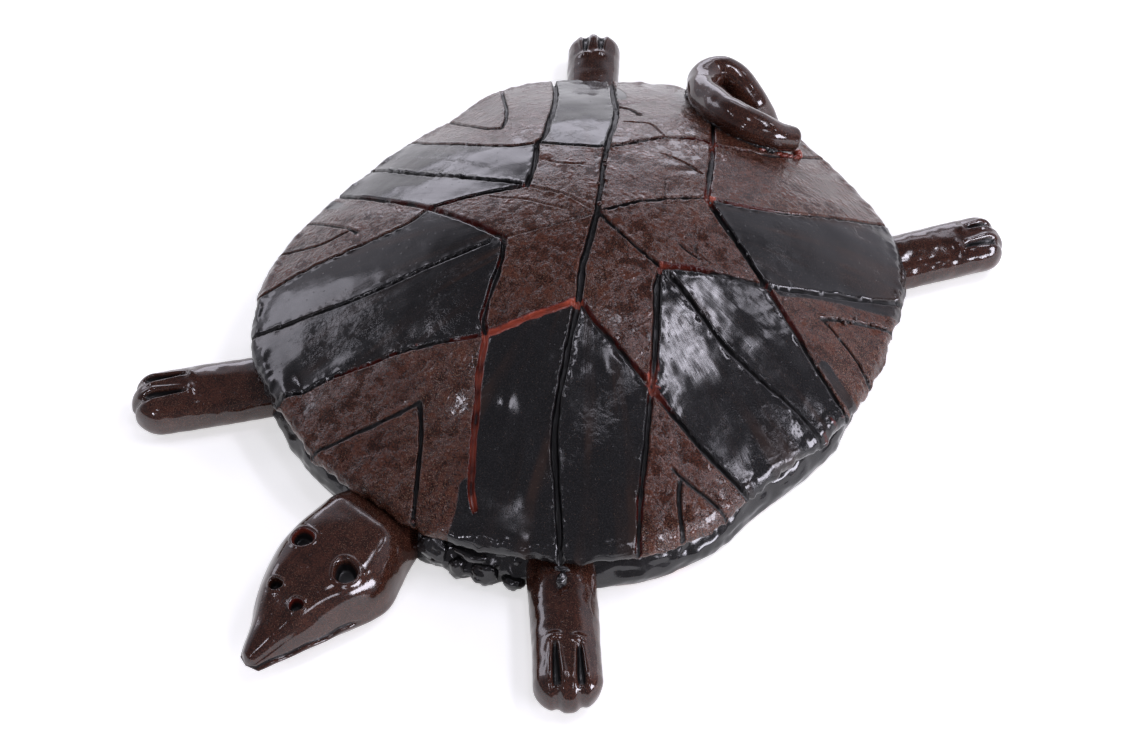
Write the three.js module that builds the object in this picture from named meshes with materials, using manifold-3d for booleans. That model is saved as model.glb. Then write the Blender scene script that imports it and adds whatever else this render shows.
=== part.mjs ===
// A glazed ceramic turtle figure, hand-built from slabs and coils of red clay.
// Millimetres, +Z up, standing on z = 0, with the head towards -Y.
// Plan positions are measured from the star at the top of the shell.

import * as THREE from "three";
import { mergeVertices } from "three/addons/utils/BufferGeometryUtils.js";
import Module from "manifold-3d";

const wasm = await Module();
wasm.setup();

// Driving dimensions of the whole figure

// The star stands this far behind the middle of the figure, and to its side.
const STAR_X = 0.55;
const STAR_Y = 30.05;
// Air left where one clay piece was pressed against another.
const GAP = 0.3;
// How far a trimming form reaches past the face it leaves alone.
const TRIM_REACH = 1;

// The shell: a domed slab on a flat seat, hollow beneath.
const RIM_TOP = 23;
const RIM_BOTTOM = 18;
const RIM_SECTORS = 48;
const DOME_RISE = 42;
const DOME_POWER = 1.9;
const SHELL_THICKNESS = 7;
// Parts of the rim's radius at which the dome and its hollow have a ring.
const DOME_FRACTIONS = [0.985, 0.9, 0.77, 0.62, 0.45, 0.25];
const HOLLOW_FRACTIONS = [0.2, 0.5, 0.76];
// The worn edge: heights over which the rim rounds off below and above.
const EDGE_ROUNDING_BELOW = 1;
const EDGE_ROUNDING_ABOVE = 1.2;
// The seat under the rim, and the slope from its inner edge to the hollow.
const SEAT_WIDTH = 15;
const SEAT_SLOPE_WIDTH = 4;
const SEAT_SLOPE_HEIGHT = 5;

// Distance from the star to the rim, in equal steps anticlockwise from the neck.
const RIM_RADII = [
  121, 122.5, 120.5, 119, 117, 112, 105, 104, 105.5, 106,
  108.5, 113, 115, 113, 112.5, 113.5, 114, 114, 113, 114,
  113, 106.5, 106, 107, 111.5, 118.5, 124, 126.5, 124, 123.5,
];

// Incised pattern of the shell: a six-pointed star of lozenges, with a band of
// two strips running out between its points and a V mark in each wedge.
const GROOVE_RADIUS = 1.6;
const FAINT_GROOVE_RADIUS = 1.1;
const GROOVE_SIDES = 4;
const GROOVE_DEEPENING = 1.2;
const GROOVE_STEP = 24;

const CENTRE = [0, 0];
const POINT_1 = [1, -61];
const POINT_2 = [57, -40];
const POINT_3 = [59, 22];
const POINT_4 = [2, 65];
const POINT_5 = [-45, 20];
const POINT_6 = [-55, -28];
const NOTCH_1 = [19, -33];
const NOTCH_2 = [31, -3];
const NOTCH_3 = [22, 35];
const NOTCH_4 = [-21, 31];
const NOTCH_5 = [-30, -3];
const NOTCH_6 = [-19, -28];

const STAR_GROOVES = [
  [CENTRE, [5, -10], [11, -21], NOTCH_1],
  [CENTRE, [12, -2], NOTCH_2],
  [CENTRE, [10, 18], NOTCH_3],
  [CENTRE, [-8, 12], NOTCH_4],
  [NOTCH_1, [8, -51], POINT_1],
  [NOTCH_1, [31, -36], POINT_2],
  [NOTCH_2, [36, -11], [49, -28], POINT_2],
  [NOTCH_2, [39, 4], POINT_3],
  [NOTCH_3, [34, 30], POINT_3],
  [NOTCH_3, [16, 44], POINT_4],
  [NOTCH_4, [-15, 43], [-10, 55], [-3, 64], POINT_4],
  [NOTCH_4, [-33, 25], POINT_5],
  [NOTCH_5, [-36, 8], POINT_5],
  [NOTCH_5, [-37, -9], POINT_6],
  [NOTCH_6, [-35, -28], POINT_6],
  [NOTCH_6, [-13, -37], [-5, -55], POINT_1],
];
const FAINT_GROOVES = [
  [CENTRE, [-15, 0], NOTCH_5],
  [CENTRE, [-7, -12], NOTCH_6],
];
const BAND_GROOVES = [
  [POINT_1, [8, -72], [27, -99], [36, -109]],
  [NOTCH_1, [40, -70], [58, -90], [70, -102]],
  [POINT_2, [63, -49], [77, -70], [90, -87]],
  [POINT_2, [70, -41], [84, -41], [112, -36]],
  [[35, -3], [66, -8], [95, -4], [110, -4]],
  [POINT_3, [67, 20], [91, 13], [110, 10]],
  [POINT_3, [67, 32], [82, 55], [92, 74]],
  [NOTCH_3, [38, 50], [54, 75], [65, 104]],
  [POINT_4, [10, 74], [18, 86], [24, 114]],
  [POINT_4, [-6, 76], [-17, 92], [-31, 113]],
  [NOTCH_4, [-36, 55], [-51, 72], [-72, 95]],
  [POINT_5, [-48, 29], [-68, 58], [-87, 79]],
  [POINT_5, [-57, 13], [-85, 10], [-109, 15]],
  [[-33, -3], [-54, -8], [-81, -11], [-110, -7]],
  [POINT_6, [-70, -28], [-94, -28], [-110, -24]],
  [POINT_6, [-59, -40], [-82, -69], [-95, -89]],
  [[-23, -33], [-45, -65], [-61, -81], [-83, -100]],
  [POINT_1, [-16, -76], [-37, -96], [-58, -117]],
];
const V_MARK_GROOVES = [
  [[-4, -90], [-12, -102], [-29, -123]],
  [[-4, -90], [5, -100], [24, -127]],
  [[79, -54], [89, -52], [104, -48]],
  [[82, -55], [86, -60], [97, -70]],
  [[78, 31], [86, 44], [97, 58]],
  [[78, 31], [90, 31], [108, 27]],
  [[-66, 24], [-77, 24], [-103, 32]],
  [[-66, 24], [-73, 35], [-93, 55]],
  [[-76, -46], [-85, -45], [-110, -44]],
  [[-79, -47], [-86, -55], [-106, -64]],
];

// The base: a floor slab with an upturned wall, set in a little from the rim.
// Each entry is the distance from the rim outline and the height.
const FLOOR_THICKNESS = 7;
const WALL_OUTER = [
  [-2.4, 0],
  [-1.4, 2.5],
  [-2.4, 8],
  [-5, 14],
  [-6, RIM_BOTTOM - GAP],
];
const WALL_INNER = [
  [-14, RIM_BOTTOM - GAP],
  [-15.5, FLOOR_THICKNESS],
];

// The legs are thick coils lying on the ground, with two toe slots each.
const LEG_HEIGHT = 17.4;
const LEG_SQUARENESS = 2.3;
const LEG_SIDES = 14;
// The rounded tip: its length as a part of the width, its height as a part of
// the leg's height, and where along it a section stands.
const LEG_TIP_LENGTH = 0.42;
const LEG_TIP_HEIGHT = 0.42;
const LEG_TIP_STATIONS = [0, 0.35, 0.62, 0.82, 0.94];
const LEG_MIDDLE_STATION = 0.4;
// Toe slots: each entry is how far to the side, and the distances from the tip
// at which it starts and ends. A slot dips at the tip and runs out at the back.
const SLOT_RADIUS = 1.3;
const SLOT_END_NARROWING = 0.46;
const SLOT_DEEPENING = 1.7;
const SLOT_SIDES = 6;
const SLOT_RUN_OUT = 4;
const SLOT_DEPTH = 0.4;
const SLOT_DIP = 1.6;
const LEGS = [
  {
    name: "leg_front_left",
    root: [58.5, -90.1],
    tip: [101.2, -136.1],
    width: 23.4,
    slots: [[-3.6, 5, 22], [4.4, 5, 21]],
  },
  {
    name: "leg_front_right",
    root: [-59.9, -88.6],
    tip: [-99.9, -140.4],
    width: 24.2,
    slots: [[-5.6, 6, 22], [2, 5, 21]],
  },
  {
    name: "leg_rear_left",
    root: [60.6, 80.5],
    tip: [93.2, 129.7],
    width: 22,
    slots: [[3.4, 4, 15], [-5, 5, 19]],
  },
  {
    name: "leg_rear_right",
    root: [-67.6, 78.3],
    tip: [-96.8, 117.1],
    width: 20.8,
    slots: [[3.6, 4, 16], [-2.6, 4, 15]],
  },
];

// The head, as sections from the neck to the snout:
// y, middle x, half width, top and underside.
const HEAD_SECTIONS = [
  [-106, 2.5, 17, 17.4, 0],
  [-120, 2.5, 17.6, 17.4, 0],
  [-128, 3.8, 19, 19.6, 0],
  [-136, 5.4, 21, 22, 0.5],
  [-143, 6.3, 21.8, 23.4, 1],
  [-150, 6.4, 21.2, 24, 1.5],
  [-157, 6.2, 19, 23.9, 2.2],
  [-164, 6.2, 16.4, 23, 3],
  [-172, 7.1, 12.9, 20.8, 4],
  [-180, 8.1, 8.6, 17.2, 5.2],
  [-186, 8.8, 5.8, 14.4, 6.2],
  [-190.3, 9.2, 3.6, 12.4, 7],
];
const SNOUT_TIP = [9.4, -192.2, 9.6];
const HEAD_SIDES = 18;
const HEAD_SQUARENESS = 2.9;
const EYES = [
  { at: [16, -150], radius: 4.3, depth: 5 },
  { at: [-4.5, -149], radius: 3.9, depth: 5 },
];
const NOSTRILS = [
  { at: [12, -169.5], radius: 2.3, depth: 4 },
  { at: [1.2, -168], radius: 2.3, depth: 4 },
];
const HOLE_SIDES = 12;
const HOLE_TAPER = 0.75;
const HOLE_CLEARANCE = 4;
const MOUTH_RADIUS = 0.9;
const MOUTH_DEEPENING = 0.8;
const MOUTH_HEIGHTS = [9.6, 9.8, 9.4, 9.2, 9.2, 9.4];
const MOUTH_FIRST_SECTION = 6;

// The tail: one coil pressed over the rim at the back, which rises, turns a
// tight bend and lies down on the shell. Each entry is a point and a radius.
const TAIL_COIL = [
  [-4, 109, 11.5, 5.4],
  [-6.2, 113.4, 15.5, 5.6],
  [-8.6, 113.2, 21, 5.7],
  [-11.4, 112.2, 26.5, 5.8],
  [-15.6, 111.4, 32, 5.9],
  [-20.8, 111.2, 36.2, 5.9],
  [-26.4, 109.8, 38.4, 6.1],
  [-29.6, 105, 38.8, 6.4],
  [-27.4, 98.2, 39.8, 6.6],
  [-20.5, 91, 42.5, 6.7],
  [-9.2, 86, 46, 6.8],
  [1.4, 84.6, 47, 6.6],
  [10.4, 88, 44.9, 5.9],
  [16.2, 94.8, 40.1, 4.9],
];
// The blunt end: how far past the last point, and how narrow, in radii.
const TAIL_END_REACH = 0.55;
const TAIL_END_NARROWING = 0.72;
const TAIL_SIDES = 10;
const TAIL_STEPS = 28;

const GLAZE_BROWN = 0x3a2420;
const GLAZE_BLACK = 0x1d1c1e;
const GLAZE_ROUGHNESS = 0.2;

// Solids from meshes

function solidOf(geometry) {
  const bare = new THREE.BufferGeometry();
  bare.setAttribute("position", geometry.getAttribute("position"));
  bare.setIndex(geometry.index);
  const merged = mergeVertices(bare, 1e-4);
  const index = merged.index.array;
  const corners = [];
  for (let i = 0; i < index.length; i += 3) {
    const [a, b, c] = index.slice(i, i + 3);
    if (a !== b && b !== c && c !== a) {
      corners.push(a, b, c);
    }
  }
  return new wasm.Manifold(
    new wasm.Mesh({
      numProp: 3,
      vertProperties: merged.attributes.position.array,
      triVerts: new Uint32Array(corners),
    }),
  );
}

function meshOf(name, solid, color) {
  const { vertProperties, triVerts } = solid.getMesh();
  const geometry = new THREE.BufferGeometry();
  geometry.setAttribute("position", new THREE.BufferAttribute(vertProperties, 3));
  geometry.setIndex(new THREE.BufferAttribute(triVerts, 1));
  geometry.computeVertexNormals();
  const look = { color, roughness: GLAZE_ROUGHNESS, metalness: 0 };
  const material = new THREE.MeshStandardMaterial(look);
  const mesh = new THREE.Mesh(geometry, material);
  mesh.name = name;
  return mesh;
}

// A closed skin through rings of equal count. Each ring turns anticlockwise
// seen from ahead of the last ring, and the ends close on the two tips.
function skin(rings, firstTip, lastTip) {
  const count = rings[0].length;
  const corners = rings.flat().concat([firstTip, lastTip]);
  const firstTipIndex = corners.length - 2;
  const lastTipIndex = corners.length - 1;
  const lastRing = (rings.length - 1) * count;
  const index = [];
  for (let i = 0; i < count; i += 1) {
    const next = (i + 1) % count;
    index.push(firstTipIndex, next, i);
    index.push(lastTipIndex, lastRing + i, lastRing + next);
    for (let row = 0; row < lastRing; row += count) {
      index.push(row + i, row + next, row + count + next);
      index.push(row + i, row + count + next, row + count + i);
    }
  }
  const geometry = new THREE.BufferGeometry().setFromPoints(corners);
  geometry.setIndex(index);
  return solidOf(geometry);
}

function middleOf(ring) {
  const sum = new THREE.Vector3();
  ring.forEach((corner) => sum.add(corner));
  return sum.divideScalar(ring.length);
}

// A rod along points, with a section of a given half width and half depth.
function rod(points, halfWidths, sides, deepening = 1) {
  const up = new THREE.Vector3(0, 0, 1);
  const rings = points.map((point, i) => {
    const before = points[Math.max(i - 1, 0)];
    const after = points[Math.min(i + 1, points.length - 1)];
    const along = after.clone().sub(before).normalize();
    const side = up.clone().cross(along).normalize();
    const over = along.clone().cross(side);
    return Array.from({ length: sides }, (_, k) => {
      const turn = (2 * Math.PI * k) / sides;
      return point
        .clone()
        .addScaledVector(side, halfWidths[i] * Math.cos(turn))
        .addScaledVector(over, halfWidths[i] * deepening * Math.sin(turn));
    });
  });
  return skin(rings, middleOf(rings[0]), middleOf(rings.at(-1)));
}

// The shell's form

function rimRadius(angle) {
  const count = RIM_RADII.length;
  const place = ((angle + Math.PI / 2) * count) / (2 * Math.PI) + count;
  const before = Math.floor(place);
  const part = place - before;
  const [a, b, c, d] = [-1, 0, 1, 2].map((k) => RIM_RADII[(before + k + count) % count]);
  const bend = 2 * a - 5 * b + 4 * c - d + part * (3 * (b - c) + d - a);
  return b + 0.5 * part * (c - a + part * bend);
}

function domeHeight(fraction) {
  return RIM_TOP + DOME_RISE * (1 - fraction ** DOME_POWER);
}

function shellHeight(x, y) {
  const fraction = Math.hypot(x, y) / rimRadius(Math.atan2(y, x));
  return domeHeight(fraction);
}

// A ring at a fraction of the rim's radius, moved out by an extra distance.
function rimRing(fraction, extra, height) {
  return Array.from({ length: RIM_SECTORS }, (_, i) => {
    const angle = (2 * Math.PI * i) / RIM_SECTORS;
    const radius = fraction * rimRadius(angle) + extra;
    return new THREE.Vector3(radius * Math.cos(angle), radius * Math.sin(angle), height);
  });
}

// The outside of the shell from its seat to near its top.
function domeRings(extra, lift) {
  const edge = [
    rimRing(DOME_FRACTIONS[0], extra, RIM_BOTTOM - lift),
    rimRing(1, extra, RIM_BOTTOM + EDGE_ROUNDING_BELOW - lift),
    rimRing(1, extra, RIM_TOP - EDGE_ROUNDING_ABOVE + lift),
  ];
  const top = DOME_FRACTIONS.map((f) => rimRing(f, extra, domeHeight(f) + lift));
  return edge.concat(top);
}

// The shell's outer form grown by the gap, to trim what touches it.
function shellTrimmer() {
  const rings = domeRings(GAP, GAP);
  const below = new THREE.Vector3(0, 0, RIM_BOTTOM - GAP);
  const apex = new THREE.Vector3(0, 0, domeHeight(0) + GAP);
  return skin(rings, below, apex);
}

function grooveCutter(line, radius) {
  const path = line.map(([x, y]) => new THREE.Vector2(x, y));
  const points = [];
  path.slice(1).forEach((end, i) => {
    const start = path[i];
    const steps = Math.ceil(start.distanceTo(end) / GROOVE_STEP);
    for (let k = points.length ? 1 : 0; k <= steps; k += 1) {
      const { x, y } = start.clone().lerp(end, k / steps);
      points.push(new THREE.Vector3(x, y, shellHeight(x, y)));
    }
  });
  return rod(points, points.map(() => radius), GROOVE_SIDES, GROOVE_DEEPENING);
}

function carapace() {
  const ceiling = HOLLOW_FRACTIONS.map((f) => rimRing(f, 0, domeHeight(f) - SHELL_THICKNESS));
  const seat = [
    rimRing(1, -SEAT_WIDTH - SEAT_SLOPE_WIDTH, RIM_BOTTOM + SEAT_SLOPE_HEIGHT),
    rimRing(1, -SEAT_WIDTH, RIM_BOTTOM),
  ];
  const rings = ceiling.concat(seat, domeRings(0, 0));
  const underTip = new THREE.Vector3(0, 0, domeHeight(0) - SHELL_THICKNESS);
  const apex = new THREE.Vector3(0, 0, domeHeight(0));
  const grooves = [...STAR_GROOVES, ...BAND_GROOVES, ...V_MARK_GROOVES];
  const cutters = grooves.map((line) => grooveCutter(line, GROOVE_RADIUS));
  cutters.push(...FAINT_GROOVES.map((line) => grooveCutter(line, FAINT_GROOVE_RADIUS)));
  return cutters.reduce((body, cutter) => body.subtract(cutter), skin(rings, underTip, apex));
}

// The base

function wallRings(profile, extra) {
  return profile.map(([inset, height]) => rimRing(1, inset + extra, height));
}

function plastron() {
  const rings = wallRings(WALL_OUTER, 0).concat(wallRings(WALL_INNER, 0));
  const below = new THREE.Vector3(0, 0, 0);
  const floor = new THREE.Vector3(0, 0, FLOOR_THICKNESS);
  return skin(rings, below, floor);
}

// The base's outer form grown by the gap, to trim what touches it.
function baseTrimmer() {
  const [[footInset], ...rise] = WALL_OUTER;
  const [topInset] = WALL_OUTER.at(-1);
  const profile = [[footInset, -TRIM_REACH], ...rise, [topInset, RIM_BOTTOM]];
  const rings = wallRings(profile, GAP);
  const below = new THREE.Vector3(0, 0, -TRIM_REACH);
  const above = new THREE.Vector3(0, 0, RIM_BOTTOM);
  return skin(rings, below, above);
}

// Limbs

// One section: a rounded box between an underside and a top.
function section(middle, side, halfWidth, low, high, sides, squareness) {
  const halfHeight = (high - low) / 2;
  const rounded = (v) => Math.sign(v) * Math.abs(v) ** (2 / squareness);
  return Array.from({ length: sides }, (_, k) => {
    const turn = (2 * Math.PI * k) / sides;
    const corner = middle.clone().addScaledVector(side, halfWidth * rounded(Math.cos(turn)));
    corner.z = low + halfHeight * (1 + rounded(Math.sin(turn)));
    return corner;
  });
}

// A slot pressed into the top of a leg, behind its tip.
function toeSlot([offset, nearTip, farTip], tip, along, side) {
  const axisHeight = LEG_HEIGHT - SLOT_DEPTH;
  const stops = [
    [nearTip, axisHeight - SLOT_DIP],
    [nearTip + SLOT_RUN_OUT, axisHeight],
    [farTip - SLOT_RUN_OUT, axisHeight],
    [farTip, LEG_HEIGHT],
  ];
  const points = stops.map(([back, height]) => {
    const point = tip.clone().addScaledVector(along, -back).addScaledVector(side, offset);
    return point.setZ(height);
  });
  const end = SLOT_RADIUS * SLOT_END_NARROWING;
  const widths = [end, SLOT_RADIUS, SLOT_RADIUS, end];
  return rod(points, widths, SLOT_SIDES, SLOT_DEEPENING);
}

function leg({ root, tip, width, slots }) {
  const start = new THREE.Vector3(...root, 0);
  const end = new THREE.Vector3(...tip, 0);
  const along = end.clone().sub(start);
  const length = along.length();
  along.normalize();
  const side = new THREE.Vector3(0, 0, 1).cross(along);
  const tipLength = width * LEG_TIP_LENGTH;
  const straight = length - tipLength;
  const tipStations = LEG_TIP_STATIONS.map((part) => straight + tipLength * part);
  const stations = [0, straight * LEG_MIDDLE_STATION, ...tipStations];
  const rings = stations.map((station) => {
    const past = Math.max(0, station - straight) / tipLength;
    const shrink = Math.sqrt(1 - past ** 2);
    const middle = start.clone().addScaledVector(along, station);
    const low = LEG_HEIGHT * LEG_TIP_HEIGHT * (1 - shrink);
    const high = low + LEG_HEIGHT * shrink;
    return section(middle, side, (width / 2) * shrink, low, high, LEG_SIDES, LEG_SQUARENESS);
  });
  const lastTip = end.clone().setZ(LEG_HEIGHT * LEG_TIP_HEIGHT);
  const coil = skin(rings, middleOf(rings[0]), lastTip);
  const cutters = slots.map((slot) => toeSlot(slot, end, along, side));
  cutters.push(baseTrimmer());
  return cutters.reduce((body, cutter) => body.subtract(cutter), coil);
}

// A hole sunk from above into a surface at a given height.
function verticalHole({ at, radius, depth }, surface) {
  const height = depth + HOLE_CLEARANCE;
  const hole = new THREE.CylinderGeometry(radius, radius * HOLE_TAPER, height, HOLE_SIDES);
  hole.rotateX(Math.PI / 2);
  hole.translate(...at, surface + (HOLE_CLEARANCE - depth) / 2);
  return solidOf(hole);
}

function headTopAt(y) {
  const last = HEAD_SECTIONS.findIndex(([sectionY]) => sectionY <= y);
  const [y0, , , top0] = HEAD_SECTIONS[last - 1];
  const [y1, , , top1] = HEAD_SECTIONS[last];
  return THREE.MathUtils.mapLinear(y, y0, y1, top0, top1);
}

function mouthLine(towards) {
  const points = MOUTH_HEIGHTS.map((height, i) => {
    const [y, middle, halfWidth] = HEAD_SECTIONS[MOUTH_FIRST_SECTION + i];
    return new THREE.Vector3(middle + towards * halfWidth, y, height);
  });
  points.push(new THREE.Vector3(...SNOUT_TIP));
  return rod(points, points.map(() => MOUTH_RADIUS), GROOVE_SIDES, MOUTH_DEEPENING);
}

function head() {
  const side = new THREE.Vector3(1, 0, 0);
  const rings = HEAD_SECTIONS.map(([y, middle, halfWidth, top, low]) => {
    const at = new THREE.Vector3(middle, y, 0);
    return section(at, side, halfWidth, low, top, HEAD_SIDES, HEAD_SQUARENESS);
  });
  const solid = skin(rings, middleOf(rings[0]), new THREE.Vector3(...SNOUT_TIP));
  const cutters = [baseTrimmer(), shellTrimmer(), mouthLine(1), mouthLine(-1)];
  [...EYES, ...NOSTRILS].forEach((hole) => {
    cutters.push(verticalHole(hole, headTopAt(hole.at[1])));
  });
  return cutters.reduce((body, cutter) => body.subtract(cutter), solid);
}

function tail() {
  const path = new THREE.CatmullRomCurve3(TAIL_COIL.map(([x, y, z]) => new THREE.Vector3(x, y, z)));
  const points = path.getPoints(TAIL_STEPS);
  const radii = points.map((_, i) => {
    const place = (i / TAIL_STEPS) * (TAIL_COIL.length - 1);
    const before = Math.min(Math.floor(place), TAIL_COIL.length - 2);
    const [start, end] = [TAIL_COIL[before], TAIL_COIL[before + 1]];
    return THREE.MathUtils.lerp(start[3], end[3], place - before);
  });
  const along = points.at(-1).clone().sub(points.at(-2)).normalize();
  points.push(points.at(-1).clone().addScaledVector(along, radii.at(-1) * TAIL_END_REACH));
  radii.push(radii.at(-1) * TAIL_END_NARROWING);
  return rod(points, radii, TAIL_SIDES).subtract(baseTrimmer()).subtract(shellTrimmer());
}

const figure = new THREE.Group();
figure.position.set(STAR_X, STAR_Y, 0);
figure.add(meshOf("carapace", carapace(), GLAZE_BROWN));
figure.add(meshOf("plastron", plastron(), GLAZE_BLACK));
figure.add(meshOf("head", head(), GLAZE_BROWN));
figure.add(meshOf("tail", tail(), GLAZE_BROWN));
LEGS.forEach((shape) => {
  figure.add(meshOf(shape.name, leg(shape), GLAZE_BROWN));
});

const turtle = new THREE.Group();
turtle.add(figure);

export default turtle;
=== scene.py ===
import math

import bmesh
import bpy
import numpy as np
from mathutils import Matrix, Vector, noise
from mathutils.geometry import delaunay_2d_cdt

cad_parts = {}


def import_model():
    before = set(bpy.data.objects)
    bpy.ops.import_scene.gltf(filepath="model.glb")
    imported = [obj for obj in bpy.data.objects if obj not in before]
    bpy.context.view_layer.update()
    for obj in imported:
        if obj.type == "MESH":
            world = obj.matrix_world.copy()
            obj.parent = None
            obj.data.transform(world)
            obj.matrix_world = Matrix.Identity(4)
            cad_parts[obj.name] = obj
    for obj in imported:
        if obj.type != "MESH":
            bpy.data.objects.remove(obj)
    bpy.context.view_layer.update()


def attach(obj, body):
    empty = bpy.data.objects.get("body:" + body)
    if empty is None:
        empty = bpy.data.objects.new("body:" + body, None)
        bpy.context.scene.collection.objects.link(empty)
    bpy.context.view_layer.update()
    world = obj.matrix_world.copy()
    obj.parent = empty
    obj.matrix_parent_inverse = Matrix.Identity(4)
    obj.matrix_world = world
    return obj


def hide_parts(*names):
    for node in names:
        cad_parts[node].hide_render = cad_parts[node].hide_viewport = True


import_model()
rng = np.random.default_rng(seed=7)
scene = bpy.context.scene

MM = 0.001
# Where the star is in the frame, and the gap that touching pieces keep.
STAR = np.array([0.55, 30.05, 0.0])
GAP = 0.3

# The shell, as the solids have it. The radii of its rim are at even turns from the
# head on, anticlockwise seen from above.
RIM_RADII = np.array([
    121, 122.5, 120.5, 119, 117, 112, 105, 104, 105.5, 106,
    108.5, 113, 115, 113, 112.5, 113.5, 114, 114, 113, 114,
    113, 106.5, 106, 107, 111.5, 118.5, 124, 126.5, 124, 123.5,
])
RIM_TOP = 23
RIM_BOTTOM = 18
DOME_RISE = 42
DOME_POWER = 1.9
SHELL_THICKNESS = 7
SEAT_WIDTH = 15

# The corners of the star: its middle, its outer and its inner ones, from the head on.
CENTRE = (0, 0)
P1, P2, P3, P4, P5, P6 = (1, -61), (57, -40), (59, 22), (2, 65), (-45, 20), (-55, -28)
N1, N2, N3, N4, N5, N6 = (19, -33), (31, -3), (22, 35), (-21, 31), (-30, -3), (-19, -28)


# Numbers and curves

NOISE_GAIN = 1.6
SEED_SHIFT = np.array([17.3, 5.7, 11.1])
SPLINE_STEPS = 24
MEAN_RADIUS = 115


def waves(points, size, seed):
    """Smooth noise of about -1 to 1, with swells of a size in millimetres."""
    points = np.asarray(points, float)
    if points.shape[1] == 2:
        points = np.column_stack([points, np.zeros(len(points))])
    shifted = points / size + SEED_SHIFT * seed
    return np.array([noise.noise(p) for p in shifted.tolist()]) * NOISE_GAIN


def smooth_step(low, high, value):
    part = np.clip((value - low) / (high - low), 0, 1)
    return part * part * (3 - 2 * part)


def bell(value):
    return np.exp(-value * value)


def polar(points):
    """The angle from +X towards +Y and the distance from the star, in plan."""
    return np.arctan2(points[:, 1], points[:, 0]), np.hypot(points[:, 0], points[:, 1])


def heading(angle):
    return np.column_stack([np.cos(angle), np.sin(angle)])


def spot(points, x, y, radius):
    """A soft round spot in plan, 1 at its middle."""
    return bell(np.hypot(points[:, 0] - x, points[:, 1] - y) / radius)


def between(a, b, c, d, t):
    """A smooth curve from b to c, whose neighbours are a and d."""
    return b + 0.5 * t * (c - a + t * (2 * a - 5 * b + 4 * c - d + t * (3 * (b - c) + d - a)))


def smooth_path(points, step):
    """Points about a step apart on a smooth curve through the given points."""
    points = np.array(points, float)
    ends = np.vstack([2 * points[0] - points[1], points, 2 * points[-1] - points[-2]])
    t = np.linspace(0, 1, SPLINE_STEPS, endpoint=False)[:, None]
    pieces = [between(*four, t) for four in zip(ends, ends[1:], ends[2:], ends[3:])]
    fine = np.vstack(pieces + [points[-1:]])
    lengths = np.r_[0, np.cumsum(np.linalg.norm(np.diff(fine, axis=0), axis=1))]
    at = np.linspace(0, lengths[-1], max(3, round(lengths[-1] / step) + 1))
    return np.column_stack([np.interp(at, lengths, column) for column in fine.T])


def rim_radius(angle):
    count = len(RIM_RADII)
    place = (angle + math.pi / 2) * count / (2 * math.pi) % count
    before = np.floor(place).astype(int)
    near = (RIM_RADII[(before + k) % count] for k in (-1, 0, 1, 2))
    return between(*near, place - before)


def ragged(angle, seed=1):
    """How far the worn edge stands out or in."""
    ring = heading(angle) * MEAN_RADIUS
    slow = 0.95 * waves(ring, 12, seed) + 0.5 * waves(ring, 5.5, seed + 1)
    return slow + 0.3 * waves(ring, 2.2, seed + 2)


# Meshes


def piece_of(name, points, faces, material, slot, node=None, **attributes):
    """A smooth mesh piece from points in millimetres, riding on the figure."""
    mesh = bpy.data.meshes.new(name)
    mesh.from_pydata(((np.asarray(points) + STAR) * MM).tolist(), [], faces)
    mesh.polygons.foreach_set("use_smooth", [True] * len(mesh.polygons))
    for key, values in attributes.items():
        layer = mesh.attributes.new(key, "FLOAT", "POINT")
        layer.data.foreach_set("value", np.asarray(values, np.float32))
    mesh.materials.append(material)
    mesh.update()
    piece = bpy.data.objects.new(name, mesh)
    scene.collection.objects.link(piece)
    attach(piece, "root")
    if node:
        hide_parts(node)
    return piece


def ring_faces(rows, count):
    """Faces that join rows of equal count, each turning anticlockwise seen from ahead."""
    index = np.arange(rows * count).reshape(rows, count)
    turned = np.roll(index, -1, axis=1)
    quads = np.stack([index[:-1], turned[:-1], turned[1:], index[1:]], axis=-1)
    return quads.reshape(-1, 4).tolist()


def closed_rings(rings, first_tip, last_tip):
    """Points and faces of rings closed by a fan at each end."""
    rows, count = rings.shape[:2]
    points = np.vstack([rings.reshape(-1, 3), [first_tip, last_tip]])
    faces = ring_faces(rows, count)
    last = (rows - 1) * count
    for i in range(count):
        after = (i + 1) % count
        faces.append([rows * count, after, i])
        faces.append([rows * count + 1, last + i, last + after])
    return points, faces


OUTLINE_FINENESS = 6001


def rounded_box(count, squareness, aspect):
    """Even steps round a rounded box, as the two factors of its half sizes."""
    turn = np.linspace(-math.pi / 2, 1.5 * math.pi, OUTLINE_FINENESS)
    across = np.sign(np.cos(turn)) * np.abs(np.cos(turn)) ** (2 / squareness)
    over = np.sign(np.sin(turn)) * np.abs(np.sin(turn)) ** (2 / squareness)
    lengths = np.r_[0, np.cumsum(np.hypot(np.diff(across) * aspect, np.diff(over)))]
    at = np.linspace(0, lengths[-1], count, endpoint=False)
    return np.interp(at, lengths, across), np.interp(at, lengths, over)


# The incised lines

PATH_STEP = 0.5
GROOVE_REACH = 4.2
# The sizes of the lines are those of the tool; these are what the clay makes of them.
HALF_WIDTH = 0.5
DEPTH_GAIN = 1.4
BURR_GAIN = 1.5
BURR_WIDTH = 0.45


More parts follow.
